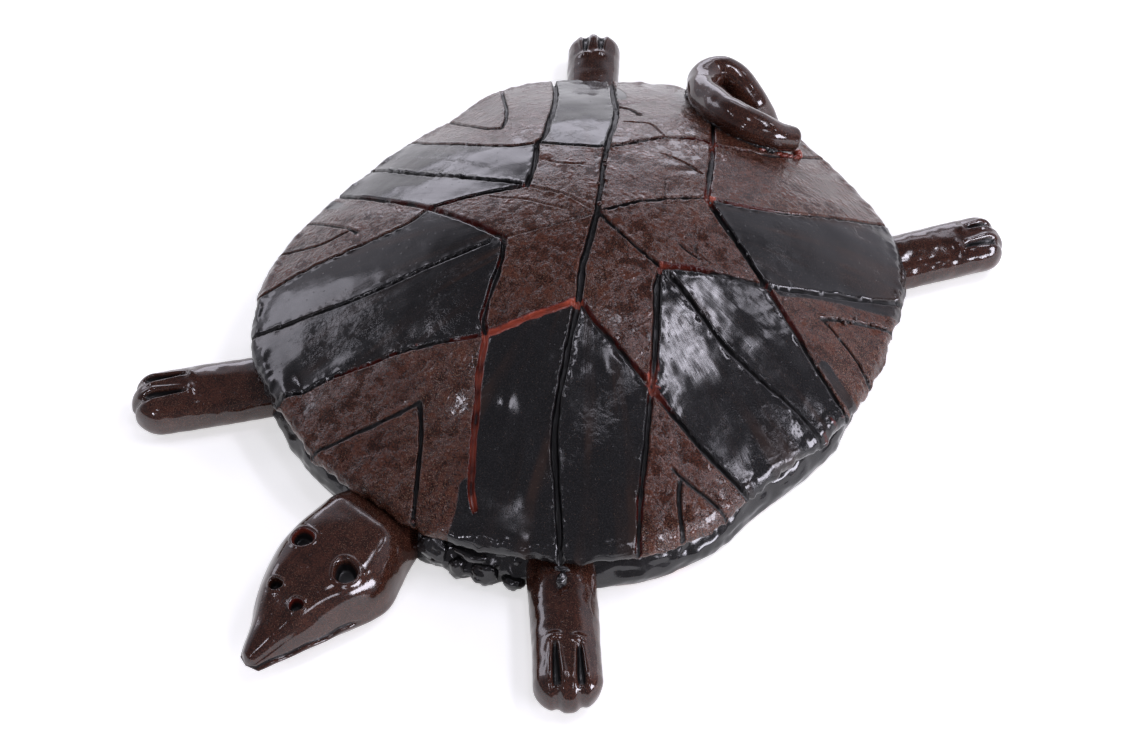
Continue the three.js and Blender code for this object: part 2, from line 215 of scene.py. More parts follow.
class Groove:
    """An incised line of the shell: its path, and its size along the path.

    Width, depth and redness are given as one value, or as several at even steps
    along the path. The lips are the heights of its burrs, or of the left and right.
    """

    def __init__(self, points, width, depth=1.7, red=0.0, lips=0.15):
        seed = points[0][0] * 0.31 + points[-1][1] * 0.17
        path = smooth_path(points, PATH_STEP)
        self.part = np.linspace(0, 1, len(path))
        along = np.gradient(path, axis=0)
        self.along = along / np.linalg.norm(along, axis=1)[:, None]
        self.side = np.column_stack([-self.along[:, 1], self.along[:, 0]])
        settled = np.minimum(1, 6 * self.part * (1 - self.part))
        wobble = 0.3 * waves(path, 14, seed) + 0.12 * waves(path, 4, seed + 5)
        self.path = path + self.side * (wobble * settled)[:, None]
        self.half = HALF_WIDTH * self.along_path(width) * (1 + 0.25 * waves(path, 4, seed + 1))
        self.depth = DEPTH_GAIN * self.along_path(depth) * (1 + 0.15 * waves(path, 6, seed + 2))
        broken = np.clip(0.55 + 0.9 * waves(path, 5, seed + 3), 0, 1)
        self.red = self.along_path(red) * (0.72 + 0.28 * broken)
        self.red_side = 1 if points[0][0] + points[-1][0] > points[0][1] else -1
        burrs = np.clip(0.35 + 1.1 * waves(path, 1.8, seed + 4), 0, 1.8)
        self.lips = BURR_GAIN * np.broadcast_to(lips, 2)[:, None] * burrs

    def along_path(self, value):
        """One value, or values at even steps, as a value at each point of the path."""
        if isinstance(value, tuple):
            places = np.linspace(0, 1, len(value))
            return np.interp(self.part, places, value)
        return np.full(len(self.part), float(value))

    def measure(self, points):
        """The points near the line, how far they are, on which side, and where."""
        low, high = self.path.min(0) - GROOVE_REACH, self.path.max(0) + GROOVE_REACH
        near = np.flatnonzero(((points > low) & (points < high)).all(1))
        away = points[near][:, None] - self.path
        nearest = (away**2).sum(2).argmin(1)
        away = away[np.arange(len(near)), nearest]
        side = (away * self.side[nearest]).sum(1)
        beyond = np.abs((away * self.along[nearest]).sum(1))
        at_end = (nearest == 0) | (nearest == len(self.path) - 1)
        distance = np.hypot(side, np.where(at_end, beyond, 0))
        kept = distance < GROOVE_REACH
        return near[kept], distance[kept], side[kept], nearest[kept]

    def rows(self, step):
        """Mesh points along the line, closest together on its walls."""
        every = max(1, round(step / PATH_STEP))
        path, side, half = (v[::every] for v in (self.path, self.side, self.half))
        offsets = [0.45 * half, 0.78 * half, 0.98 * half, half + 0.35, half + 0.8, half + 1.5]
        rows = [path]
        for offset in offsets:
            rows += [path + side * offset[:, None], path - side * offset[:, None]]
        return np.vstack(rows)


# Fine marks scratched in the clay, with the width and depth of each.
SCRATCHES = [
    ([(-3.7, 42.9), (4, 44.6), (12.2, 45.1)], 0.7, 0.6),
    ([(-39.7, 62.1), (-35, 62.4), (-30.4, 61.3)], 1.2, 0.9),
    ([(30, 9.5), (34, 9.4), (38.5, 10.1)], 0.9, 0.8),
    ([(7.4, 29.4), (10, 26), (12, 23)], 0.5, 0.35),
    ([(34, 13), (36.5, 11), (41, 12)], 0.6, 0.5),
    ([(-33, 13), (-27, 14), (-22, 17)], 0.6, 0.35),
    ([(-12, -6), (-24, -9), (-38, -14)], 0.6, 0.2),
    ([(-14, 55), (-22, 57), (-28, 52)], 0.7, 0.4),
    ([(40, -14), (41, -22), (38, -30)], 0.5, 0.25),
]

# The lines, by the corners that they join: c is the middle. Lines b run on to the
# rim, and lines v are the V marks in the wedges.
LINES = {
    "c_n1": ([CENTRE, (5, -10), (11, -21), N1], 2.3, 2.0, (0.1, 0, 0.4)),
    "c_n2": ([CENTRE, (12, -2), N2], 1.3, 1.2, (0.2, 0, 0.3), 0.45),
    "c_n3": ([CENTRE, (10, 18), N3], 1.7, 1.7, 0, (0.2, 0.5)),
    "c_n4": ([CENTRE, (-8, 12), N4], 1.8, 1.5, (0.2, 0, 0.2), (0.4, 0.3)),
    "c_n5": ([CENTRE, (-15, 0), N5], 0.9, 0.3, 0, (0.35, 0.1)),
    "c_n6": ([CENTRE, (-7, -12), N6], 0.9, 0.3, 0, (0.35, 0.1)),
    "n1_p1": ([N1, (8, -51), P1], 2.0, 1.5, 1.3, (0.2, 0.3)),
    "n1_p2": ([N1, (31, -36), P2], 1.7, 1.5, (0.85, 0.6, 0.58, 0.8), (0.5, 0.3)),
    "n2_p2": ([N2, (36, -11), (49, -28), P2], 2.1, 1.9, (0.6, 0, 0.55, 0.9)),
    "n2_p3": ([N2, (39, 4), P3], 1.9, 1.7, (0.8, 0.6, 0.5, 0.1), (0.3, 0.45)),
    "n3_p3": ([N3, (34, 30), P3], 1.9, 1.7, (0.7, 0.5, 0.25, 0.4, 0.55)),
    "n3_p4": ([N3, (16, 44), P4], 1.8, 1.7, (0.85, 0.55, 0.5, 0.75), (0.15, 0.3)),
    "n4_p4": ([N4, (-15, 43), (-10, 55), (-3, 64), P4], 1.5, 1.4, (0.5, 0.2, 0.55, 0.7), 0.4),
    "n4_p5": ([N4, (-33, 25), P5], 1.0, 1.2, 0.1),
    "n5_p5": ([N5, (-36, 8), P5], 1.8, 1.8, (0.5, 0, 0.1)),
    "n5_p6": ([N5, (-37, -9), P6], 1.6, 1.6, (0.5, 0.3, 0.5, 0.6)),
    "n6_p6": ([N6, (-35, -28), P6], 2.0, 1.6, (0.6, 0.6, 0.65)),
    "n6_p1": ([N6, (-13, -37), (-5, -55), P1], 1.9, 1.7, (0.4, 0.62, 0.64, 0.75), 0.25),
    "b0": ([P1, (8, -72), (27, -99), (34, -106)], 1.75, 1.8, (1.1, 0.95, 0.95, 1), 0.35),
    "b1": ([N1, (40, -70), (58, -90), (72, -105)], 2.2, 2.1, (0.5, 0, 0, 0), (0.4, 0.45)),
    "b2": ([P2, (63, -49), (77, -70), (93, -91)], 1.8, 1.7, (0.6, 0.3, 0.58, 0.58, 0.55), (0.25, 0.4)),
    "b3": ([P2, (70, -41), (84, -41), (114, -36)], 1.8, 1.8, (0.9, 0, 0, 0.1)),
    "b4": ([(35, -3), (66, -8), (95, -4), (110, -4)], (1.6, 1.5, 0.8), (1.7, 1.5, 0.9), 0, (0.15, 0.35)),
    "b5": ([P3, (67, 20), (91, 13), (111, 10)], (1.9, 1.6, 1.1), 1.6, (0.75, 0.6, 0, 0.1), (0.25, 0.4)),
    "b6": ([P3, (67, 32), (82, 55), (94, 77)], 1.6, 1.7, (0.1, 0, 0, 0.3)),
    "b7": ([N3, (38, 50), (54, 75), (67, 107)], 1.1, 1.1, (0.7, 0.7, 0, 0, 0.5), (0.15, 0.3)),
    "b8": ([P4, (10, 74), (18, 86), (24, 114)], 1.5, 1.4, (0.7, 0.3, 0.7)),
    "b9": ([P4, (-6, 76), (-17, 92), (-33, 118)], 1.5, 1.4, (0.8, 0, 0)),
    "b10": ([N4, (-36, 55), (-51, 72), (-74, 98)], 2.0, 1.8, (0.4, 0, 0)),
    "b11": ([P5, (-48, 29), (-68, 58), (-90, 82)], 2.0, 1.8, 0),
    "b12": ([P5, (-57, 13), (-85, 10), (-112, 15)], 1.2, 1.3, (0.2, 0, 0)),
    "b13": ([(-33, -3), (-54, -8), (-81, -11), (-110, -7)], 1.2, 1.2, 0, (0.1, 0.4)),
    "b14": ([P6, (-70, -28), (-94, -28), (-112, -24)], 1.8, 1.6, (0.6, 0.5, 0.3)),
    "b15": ([P6, (-59, -40), (-82, -69), (-97, -91)], 1.0, 1.1, 0.1, 0.3),
    "b16": ([(-23, -33), (-45, -65), (-61, -81), (-83, -100)], 1.0, 1.2, 0, (0.1, 0.35)),
    "b17": ([P1, (-16, -76), (-37, -96), (-60, -121)], 1.1, 1.2, (0.9, 0.3, 0.8, 0.2, 0.6), (0.15, 0.35)),
    "v0": ([(-4, -90), (-12, -102), (-29, -123)], 1.4, 1.3, 0.1, (0.2, 0.3)),
    "v1": ([(-4, -90), (5, -100), (24, -127)], 1.5, 1.5, 0, 0.3),
    "v2": ([(79, -54), (89, -52), (104, -48)], 1.2, 1.2, 0.1, 0.25),
    "v3": ([(82, -55), (86, -60), (97, -70)], 1.5, 1.1, 0, 0.3),
    "v4": ([(78, 31), (86, 44), (97, 58)], 1.4, 1.2, 0.1, 0.5),
    "v5": ([(78, 31), (90, 31), (108, 27)], (0.7, 1.0, 1.5), 1.1, 0, 0.3),
    "v6": ([(-66, 24), (-77, 24), (-103, 32)], 1.2, 1.2, 0.1),
    "v7": ([(-66, 24), (-73, 35), (-93, 55)], 1.2, 1.2, 0.1, (0.3, 0.2)),
    "v8": ([(-76, -46), (-85, -45), (-110, -44)], 0.9, 1.0, 0.1),
    "v9": ([(-79, -47), (-86, -55), (-106, -64)], 0.9, 1.0, 0.1),
}

GROOVES = {name: Groove(*line) for name, line in LINES.items()}
for number, (line, width, depth) in enumerate(SCRATCHES):
    GROOVES[f"scratch_{number}"] = Groove(line, width, depth, 0, 0.12)

# Fields of black glaze, each as the lines round it; a tilde turns a line round.
BLACK_FIELDS = [
    ["n1_p1", "b0", "~b2", "~n1_p2"],
    ["n2_p2", "b3", "~b5", "~n2_p3"],
    ["n3_p3", "b6", "~b7"],
    ["b10", "~b11", "~n4_p5"],
    ["n5_p5", "b12", "~b14", "~n5_p6"],
    ["n6_p6", "b15", "~b17", "~n6_p1"],
]
FIELD_OVERRUN = 14
# How far inside and outside a field the distance to its edge is measured.
BLACK_REACH = 4.0

# Strokes of black glaze beyond the fields: points, half width.
BLACK_STROKES = [
    ([(63, 26), (74, 42), (86, 57), (96, 70)], 2.6),
    ([(90, 17), (100, 15.5), (112, 15)], 2.2),
    ([(-46, 71), (-50, 75), (-56, 79)], 2.2),
    ([(29, -103), (33, -110), (36, -120)], 3.0),
    ([(-98, -33), (-106, -32), (-112, -31)], 2.4),
    ([(100, -66), (106, -40), (108, -10), (106, 8)], 4.0),
    ([(52, -106), (80, -92), (98, -74), (106, -52)], 3.4),
]

# Lumps of clay at the crossings: x, y, radius, height, redness.
CLAY_LUMPS = [
    (19, -34, 2.2, 0.5, 1.0), (1, -61, 2.4, 0.4, 0.9), (56, -38, 3.2, 0.9, 0.9),
    (54, -34, 2.4, 0.8, 0.7), (31, -2, 1.8, 0.4, 0.8), (23, 36, 2.4, 0.5, 1.0),
    (-21, 32, 2.8, 0.9, 0.5), (-30, -3, 2.0, 0.4, 0.8), (-19, -29, 1.6, 0.4, 0.5),
    (3, 65, 2.4, 0.6, 0.9), (-45, 20, 1.6, 0.4, 0.5), (0.5, 0.5, 1.6, 0.3, 0.5),
    (-38, 14, 2.6, 0.8, 0.0), (103, 5, 2.2, 0.9, 0.5), (105, -1, 1.8, 0.7, 0.45),
    (58, 24, 1.8, 0.5, 0.2), (-55, -28, 1.8, 0.3, 0.6), (75, 46, 1.5, 0.5, 0.3),
]
# Dents and swells of the slab: x, y, length, width, turn in degrees, height.
SWELLS = [
    (-41, 66, 5, 1.6, 50, -0.7), (8, 42, 8, 1.2, 60, -0.5), (70, -15, 16, 9, 20, 0.5),
    (50, -30, 12, 7, 60, -0.4), (20, -80, 14, 9, 60, 0.4),
    (-30, -70, 16, 8, 40, 0.4), (-80, 0, 18, 9, 10, 0.5), (80, 50, 12, 8, 30, -0.5),
    (45, -95, 10, 6, 20, 0.6), (-95, -40, 9, 7, 0, 0.5), (-60, 70, 14, 9, 40, -0.4),
    (25, -78, 8, 3, -50, 1.0), (38, -85, 10, 3.2, -50, 1.0), (43, -46, 6, 3, -35, 0.5),
    (50, -109.3, 10, 3.2, 22, 0.6), (-50, -109.5, 7, 2, -24, 1.5), (-47.5, -104, 7, 2.2, -24, -0.8),
    (-20, -84, 9, 3, 60, 0.5), (-38, -92, 8, 3, 50, 0.5), (85, -71, 5, 2.6, -50, 0.7),
]
# Where black glaze was dabbed on thickly and lies hammered: x, y, radius.
DABBED = [(47, -9, 22), (63, 12, 13), (28, -52, 9), (62, -34, 8)]


def incise(points):
    """How deep the lines cut, how high their burrs stand, how red they are, and
    where that redness fills the line."""
    cut, burr, red, open_ = (np.zeros(len(points)) for _ in range(4))
    for groove in GROOVES.values():
        near, distance, side, at = groove.measure(points)
        half = groove.half[at]
        ratio = distance / half
        wall = 1 - smooth_step(0.74, 1.12, ratio)
        cut[near] = np.maximum(cut[near], groove.depth[at] * wall)
        lip = np.where(side > 0, groove.lips[0, at], groove.lips[1, at])
        burr[near] = np.maximum(burr[near], lip * bell((distance - half - 0.5) / BURR_WIDTH))
        # Red clay shows along the walls, and fills the line where it is reddest.
        wall_side = np.where(side * groove.red_side > 0, 1.0, 0.5)
        stain = wall_side * bell((distance - half - 0.1) / 0.5)
        redness = groove.red[at]
        whole = smooth_step(0.38, 0.56, redness) * (1 - smooth_step(0.9, 1.3, ratio))
        # The middle of a less red line is left to the near black of its depth: partly pooled glaze,
        # partly painted shade.
        core = 1 - smooth_step(0.2, 0.6, ratio)
        whole = whole * (1 - core * (1 - smooth_step(0.6, 0.76, redness)))
        stain = redness * np.maximum(stain, whole)
        red[near] = np.maximum(red[near], stain)
        open_[near] = np.maximum(open_[near], whole)
    return cut, burr * (1 - np.clip(cut, 0, 1)), red, open_


def shell_height(points):
    """The shell's top without its lines: the dome, its swells and its round edge."""
    angle, radius = polar(points)
    edge = rim_radius(angle)
    fraction = np.clip(radius / edge, 0, 1.02)
    height = RIM_TOP + DOME_RISE * (1 - fraction**DOME_POWER)
    # The edge is rounded, and rolled over further between the two left legs.
    rolled = bell((angle + 0.5) / 0.45)
    inside = np.clip((edge - radius + 0.6) / (3.0 + 3.4 * rolled), 0, 1)
    height -= (2.0 + 1.5 * rolled) * (1 - np.sqrt(1 - (1 - inside) ** 2))
    height += 0.55 * waves(points, 30, 3) + 0.22 * waves(points, 11, 4)
    height += 0.035 * waves(points, 4.2, 5) + 0.008 * waves(points, 2.0, 6)
    # The worn rim is lumpy, and slumps a little where the hands pressed it.
    near_rim = smooth_step(7, 1, edge - radius)
    worn = 0.4 * waves(points, 5, 7) + 0.25 * waves(points, 2.4, 8)
    height += near_rim * worn * (1 - 0.65 * rolled)
    lip = np.clip(0.5 + 0.9 * waves(points, 9, 10), 0, 1.3)
    height += 0.55 * lip * bell((edge - radius - 2.2) / 1.6)
    for x, y, length, width, turn, rise in SWELLS:
        c, s = math.cos(math.radians(turn)), math.sin(math.radians(turn))
        away = points - (x, y)
        along, across = away @ (c, s) / length, away @ (-s, c) / width
        height += rise * bell(np.hypot(along, across))
    return height


def field_outline(names):
    """The outline of a field of black glaze, run out past the rim."""
    lines = []
    for name in names:
        path = GROOVES[name.strip("~")].path
        if name.strip("~")[0] == "b":
            end = path[-1]
            path = np.vstack([path, end * (1 + FIELD_OVERRUN / np.hypot(*end))])
        lines.append(path[::-1] if name[0] == "~" else path)
    return np.vstack(lines)


def blackness(points):
    """How far inside the black fields the points are, in millimetres."""
    depth = np.full(len(points), -BLACK_REACH)
    for names in BLACK_FIELDS:
        outline = field_outline(names)
        low, high = outline.min(0) - BLACK_REACH, outline.max(0) + BLACK_REACH
        near = np.flatnonzero(((points > low) & (points < high)).all(1))
        p = points[near]
        a, b = outline, np.roll(outline, -1, axis=0)
        inside = np.zeros(len(near), bool)
        distance = np.full(len(near), BLACK_REACH)
        for (ax, ay), (bx, by) in zip(a, b):
            crosses = (ay > p[:, 1]) != (by > p[:, 1])
            if by != ay:
                inside ^= crosses & (p[:, 0] < (bx - ax) * (p[:, 1] - ay) / (by - ay) + ax)
            distance = np.minimum(distance, np.hypot(p[:, 0] - ax, p[:, 1] - ay))
        depth[near] = np.maximum(depth[near], np.where(inside, distance, -distance))
    for line, half in BLACK_STROKES:
        path = smooth_path(line, 1.0)
        away = points[:, None] - path
        distance = np.sqrt((away**2).sum(2).min(1))
        depth = np.maximum(depth, np.clip(half - distance, -BLACK_REACH, BLACK_REACH))
    return depth


RIM_SECTORS = 1080
RIM_ROWS = (0.55, 1.2, 2.0, 3.0)
FILLER_STEP = 1.25
CLOSEST = 0.22


def shell_plan():
    """The shell's plan as mesh points: its rim, its lines, and a filler between."""
    angle = np.linspace(-math.pi, math.pi, RIM_SECTORS, endpoint=False)
    edge = rim_radius(angle) + ragged(angle)
    rows = [heading(angle) * (edge - inset)[:, None] for inset in (0,) + RIM_ROWS]
    rim = rows[0]
    lines = np.vstack([groove.rows(1.0) for groove in GROOVES.values()])
    across = np.arange(-130, 130, FILLER_STEP)
    x, y = np.meshgrid(across, across * math.sqrt(0.75))
    x[::2] += FILLER_STEP / 2
    filler = np.column_stack([x.ravel(), y.ravel()])
    filler = filler + rng.uniform(-0.2, 0.2, filler.shape) * FILLER_STEP
    clear = np.ones(len(filler), bool)
    for groove in GROOVES.values():
        near, distance, _, at = groove.measure(filler)
        clear[near[distance < groove.half[at] + 1.9]] = False
    inner = np.vstack(rows[1:] + [lines, filler[clear]])
    turn, reach = polar(inner)
    limit = np.interp(turn, angle, edge, period=2 * math.pi)
    inner = inner[reach < limit - 0.3]
    cells = np.round(inner / CLOSEST).astype(int)
    _, first = np.unique(cells, axis=0, return_index=True)
    return rim, inner[np.sort(first)]


def triangulate(rim, inner):
    """The points and faces of the plan, and which points are the rim's."""
    ring = list(range(len(rim)))
    plan = [Vector(p) for p in np.vstack([rim, inner]).tolist()]
    verts, _, faces, origins, _, _ = delaunay_2d_cdt(plan, [], [ring], 1, 1e-5)
    place = {source: i for i, sources in enumerate(origins) for source in sources}
    return np.array([tuple(v) for v in verts]), faces, np.array([place[k] for k in ring])


def add_lumps(xy, red):
    """The height of the lumps of clay, and the redness with theirs added."""
    lumps = np.zeros(len(xy))
    for x, y, radius, height, redness in CLAY_LUMPS:
        crumb = spot(xy, x, y, radius) * (1 + 0.7 * waves(xy, 1.7, x))
        lumps = np.maximum(lumps, height * crumb)
        red = np.maximum(red, redness * smooth_step(0.25, 0.8, crumb))
    return lumps, red


def calmness(xy):
    """How even the glaze lies: less so by the rim, and least where it was dabbed on."""
    angle, reach = polar(xy)
    calm = 1 - 0.35 * smooth_step(5, 2, rim_radius(angle) - reach)
    for dab in DABBED:
        calm = np.minimum(calm, 1 - spot(xy, *dab))
    return calm


# Rows down the side: how far it bulges, and how high it is as a part of the side.
SIDE_ROWS = [(0.25, 0.78), (0.35, 0.55), (0.1, 0.32), (-0.5, 0.12)]
CEILING_ROWS = (0.76, 0.5, 0.25)


def shell_underside(edge):
    """Rings below the edge of the top: the side, the seat on the base, the hollow."""
    angle, reach = polar(edge)
    direction = heading(angle)
    low = RIM_BOTTOM + 0.35 * waves(edge, 6, 9)
    flow = 0.4 * waves(edge, 5, 12)
    below = [(reach + out + flow, low + part * (edge[:, 2] - low)) for out, part in SIDE_ROWS]
    below += [
        (reach - 1.4, low),
        (reach - 3.0, 0 * low + RIM_BOTTOM + 0.1),
        (reach - SEAT_WIDTH, 0 * low + RIM_BOTTOM),
        (reach - SEAT_WIDTH - 4, 0 * low + RIM_BOTTOM + 5),
    ]
    for fraction in CEILING_ROWS:
        ceiling = RIM_TOP + DOME_RISE * (1 - fraction**DOME_POWER) - SHELL_THICKNESS
        below.append((reach * fraction, 0 * low + ceiling))
    return [np.column_stack([direction * r[:, None], z]) for r, z in below]


def carapace(material):
    xy, faces, order = triangulate(*shell_plan())
    cut, burr, red, open_ = incise(xy)
    lumps, red = add_lumps(xy, red)
    black = blackness(xy)
    height = shell_height(xy) + burr + lumps * (1 - 0.8 * np.clip(cut, 0, 1)) - cut
    top = np.column_stack([xy, height])
    rings = shell_underside(top[order])
    ceiling_tip = [0, 0, RIM_TOP + DOME_RISE - SHELL_THICKNESS]
    points = np.vstack([top] + rings + [[ceiling_tip]])

    count, tip = len(order), len(points) - 1
    index = len(top) + np.arange(len(rings) * count).reshape(-1, count)
    index = np.vstack([order, index])
    turned = np.roll(index, -1, axis=1)
    sides = np.stack([index[:-1], index[1:], turned[1:], turned[:-1]], axis=-1)
    faces = [list(f) for f in faces] + sides.reshape(-1, 4).tolist()
    faces += [[int(index[-1, i]), tip, int(turned[-1, i])] for i in range(count)]

    extra = len(points) - len(top)
    edge_black = np.tile(black[order], len(rings))
    black = np.r_[black, edge_black, -BLACK_REACH]
    angle, reach = polar(points)
    return piece_of(
        "shell", points, faces, material, "brown_glaze", "carapace",
        black=black / (2 * BLACK_REACH) + 0.5,
        clay=np.r_[red, np.tile(red[order], len(rings)), 0.0],
        # How deep a line cuts, less where red clay fills it; the glaze darkens with it, painted shade
        # with some pooled glaze.
        deep=np.r_[np.clip(cut / 1.2, 0, 1) * (1 - 0.8 * open_), np.zeros(extra)],
        calm=np.r_[calmness(xy), np.zeros(extra)],
        across=angle * 80, along=reach,
    )


# The base

# Sections of the wall: how far past the rim, and how high.
WALL_OUTER = [
    (-6.5, 0), (-3.4, 0.1), (-1.5, 2.5), (-1.7, 7), (-5, 12), (-8.2, 15),
    (-8.5, RIM_BOTTOM - GAP),
]
WALL_INNER = [(-14, RIM_BOTTOM - GAP), (-15.5, 7)]
BASE_SECTORS = 900
UNDER_ROWS = np.linspace(0.06, 0.92, 36)


def plastron(material):
    angle = np.linspace(-math.pi, math.pi, BASE_SECTORS, endpoint=False)
    direction = heading(angle)
    # The foot is drawn in further on the right.
    radius = rim_radius(angle) - 2.4 * bell((np.degrees(angle) - 20) / 20)
    # Rows from the middle of the underside, out, up the wall and down inside it.
    wall = smooth_path(WALL_OUTER, 1.0)
    rows = [(radius * fraction, 0) for fraction in UNDER_ROWS]
    rows += [(radius + inset, height) for inset, height in [*wall, *WALL_INNER]]
    rings = np.array([np.column_stack([direction * r[:, None], 0 * r + z]) for r, z in rows])
    flat = rings.reshape(-1, 3)
    # The wall was smoothed along its length, so its lumps lie level.
    level = flat * (1, 1, 1.9)
    lumps = 0.8 * waves(flat, 17, 21) + 0.45 * waves(level, 8, 22) + 0.3 * waves(level, 4, 23)
    # Between the neck and the front leg the clay is torn and patched.
    turn, reach = polar(flat)
    patch = bell((np.degrees(turn) + 71) / 10)
    torn = 1.6 + 2.2 * waves(flat * (1, 1, 1.5), 7, 28) + 0.8 * waves(flat, 3, 29)
    lumps = lumps + patch * torn * smooth_step(17, 9, flat[:, 2])
    grow = smooth_step(0, 2.5, flat[:, 2]) * (1 - smooth_step(15, 17.5, flat[:, 2]))
    outward = flat[:, :2] / np.maximum(reach, 1)[:, None]
    flat[:, :2] += outward * (lumps * grow)[:, None]
    under = flat[:len(UNDER_ROWS) * BASE_SECTORS]
    under[:, 2] = np.clip(0.12 + 0.12 * waves(under, 9, 24), 0, 0.5)
    points, faces = closed_rings(flat.reshape(rings.shape), [0, 0, 0.1], [0, 0, 7])
    return piece_of("base", points, faces, material, "black_glaze", "plastron",
                    clay=foot_wear(points))


def foot_wear(points):
    """Bare clay along the foot of the base, where the glaze was wiped off."""
    turn = np.degrees(polar(points)[0])
    top = 2.2 + 3.5 * bell((turn + 45) / 16)
    low = 1 - smooth_step(0.1 * top, top, points[:, 2])
    return low * (0.5 + 0.35 * waves(points, 14, 27))


# The legs

LIMB_STEP = 0.4
LEG_HEIGHT = 17.4
LEG_TIP_LENGTH = 0.42
LEG_TIP_HEIGHT = 0.42
LEG_SIDES = 150
LEG_STATIONS = 190
# Each leg: root, tip, width, and its slots between the toes, each as the offset from
# the middle and how far from the tip it starts and ends.
LEGS = {
    "leg_front_left": ((58.5, -90.1), (101.2, -136.1), 23.4, [(-3.6, 5, 22), (4.4, 5, 21)]),
    "leg_front_right": ((-59.9, -88.6), (-99.9, -140.4), 24.2, [(-5.6, 6, 22), (2, 5, 21)]),
    "leg_rear_left": ((60.6, 80.5), (93.2, 129.7), 22, [(3.4, 4, 15), (-5, 5, 19)]),
    "leg_rear_right": ((-67.6, 78.3), (-96.8, 117.1), 20.8, [(3.6, 4, 16), (-2.6, 4, 15)]),
}


def toe_slots(u, back, slots):
    """How deep the slots between the toes cut, and how high the clay stands by them."""
    cut, rim = np.zeros_like(u), np.zeros_like(u)
    for offset, near_tip, far_tip in slots:
        run = smooth_step(near_tip - 2.2, near_tip + 2.5, back)
        run = run * (1 - smooth_step(far_tip - 4.5, far_tip + 0.5, back))
        half = 1.0 + 0.7 * (1 - smooth_step(near_tip, far_tip, back))
        ratio = np.abs(u - offset) / half
        cut = np.maximum(cut, 2.6 * run * (1 - smooth_step(0.35, 1.15, ratio)))
        rim = np.maximum(rim, 0.45 * run * bell((ratio - 1.6) / 0.45))
        heap = bell((back - far_tip - 1.2) / 1.4) * bell((u - offset) / 2.4)
        rim = np.maximum(rim, 0.9 * heap)
    return cut, rim


def leg(name, material):
    root, tip, width, slots = LEGS[name]
    root, tip = np.array(root), np.array(tip)
    length = np.hypot(*(tip - root))
    along = (tip - root) / length
    side = np.array([-along[1], along[0]])
    tip_length = width * LEG_TIP_LENGTH
    straight = length - tip_length
    ease = np.sin(np.linspace(0, 1, 60) * math.pi / 2)[:-1]
    stations = np.linspace(0, straight, LEG_STATIONS, endpoint=False)
    stations = np.r_[stations, straight + tip_length * ease]
    across, over = rounded_box(LEG_SIDES, 2.3, width / LEG_HEIGHT)
    shrink = np.sqrt(1 - (np.clip(stations - straight, 0, None) / tip_length) ** 2)
    low = LEG_HEIGHT * LEG_TIP_HEIGHT * (1 - shrink)
    u = across * (width / 2 * shrink)[:, None]
    z = low[:, None] + LEG_HEIGHT * shrink[:, None] * (1 + over) / 2
    v = np.repeat(stations[:, None], LEG_SIDES, axis=1)
    # Finger marks, and long soft facets from rolling the coil.
    seed = len(name) + width
    flat = np.column_stack([u.ravel(), v.ravel(), z.ravel()])
    swell = 0.45 * waves(flat * (1, 0.3, 1), 9, seed) + 0.1 * waves(flat, 4, seed + 1)
    swell = swell.reshape(u.shape) * smooth_step(0, 4, z)
    u = u + swell * across
    z = z + swell * np.clip(over, -0.2, 1)
    cut, rim = toe_slots(u, length - v, slots)
    for offset, _, _ in slots:
        # Each slot leaves a notch between the toes.
        v = v - 1.3 * bell((u - offset) / 1.5) * smooth_step(straight - 2, length, v)
    on_top = smooth_step(0.2, 0.6, over)
    z = z + (rim - cut) * on_top
    place = root + along * v[..., None] + side * u[..., None]
    rings = np.concatenate([place, np.maximum(z, 0.05)[..., None]], axis=-1)
    first = np.r_[root, LEG_HEIGHT / 2]
    last = np.r_[tip, LEG_HEIGHT * LEG_TIP_HEIGHT]
    points, faces = closed_rings(rings, first, last)
    wear = (1 - smooth_step(0.2, 1.8, points[:, 2])) * 0.5
    wear = np.maximum(wear, 0.6 * smooth_step(1.15, 1.5, waves(points, 6, seed + 3)))
    # The slots darken with their depth: painted shade, with some pooled glaze.
    deep = np.r_[(cut * on_top / 2.0).ravel(), 0, 0]
    turn = np.arange(LEG_SIDES) * 55 / LEG_SIDES + seed * 9
    return piece_of(name + "_coil", points, faces, material, "brown_glaze", name,
                    clay=wear, deep=np.clip(deep, 0, 1),
                    across=np.r_[np.tile(turn, len(stations)), 0, 0],
                    along=np.r_[v.ravel(), 0, length])


# The head

# Sections of the head: y, middle, half width, top and bottom.
HEAD_SECTIONS = [
    (-106, 2.5, 17, 17.4, 0), (-118, 2.5, 17.5, 17.5, 0), (-122.5, 3, 18, 19.4, 0),
    (-128, 3.9, 19.2, 22.8, 0.1), (-134, 5, 20.6, 23.8, 0.4), (-143, 6.3, 21.8, 24.2, 1),
    (-150, 6.4, 21.2, 24.2, 1.5),
    (-157, 6.2, 19, 23.9, 2.2), (-164, 6.2, 16.4, 23, 3), (-172, 7.1, 12.9, 20.8, 4),
    (-180, 8.1, 8.6, 17.2, 5.2), (-186, 8.8, 5.8, 14.4, 6.2), (-190.3, 9.2, 3.6, 12.4, 7),
]
SNOUT_TIP = (9.4, -192.2, 9.6)
HEAD_SIDES = 230
# Half the outline of a section: a flat jaw, a sloping cheek, a ridge and a flat crown.
HEAD_OUTLINE = [
    (0, -1), (0.6, -1), (0.78, -0.96), (0.92, -0.82), (1, -0.58), (0.99, -0.3), (0.95, 0.05),
    (0.88, 0.38), (0.785, 0.67), (0.66, 0.88), (0.51, 0.985), (0.3, 1.01), (0, 1.01),
]
HEAD_ASPECT = 1.75
# Each hole: x, y, radius, depth, redness inside.
HEAD_HOLES = [
    (16, -150, 4.3, 5, 0.0), (-4.5, -149, 3.9, 5, 0.75),
    (12, -169.5, 2.3, 4, 0.6), (1.2, -168, 2.3, 4, 0.2),
]
MOUTH_HEIGHT = 9.5


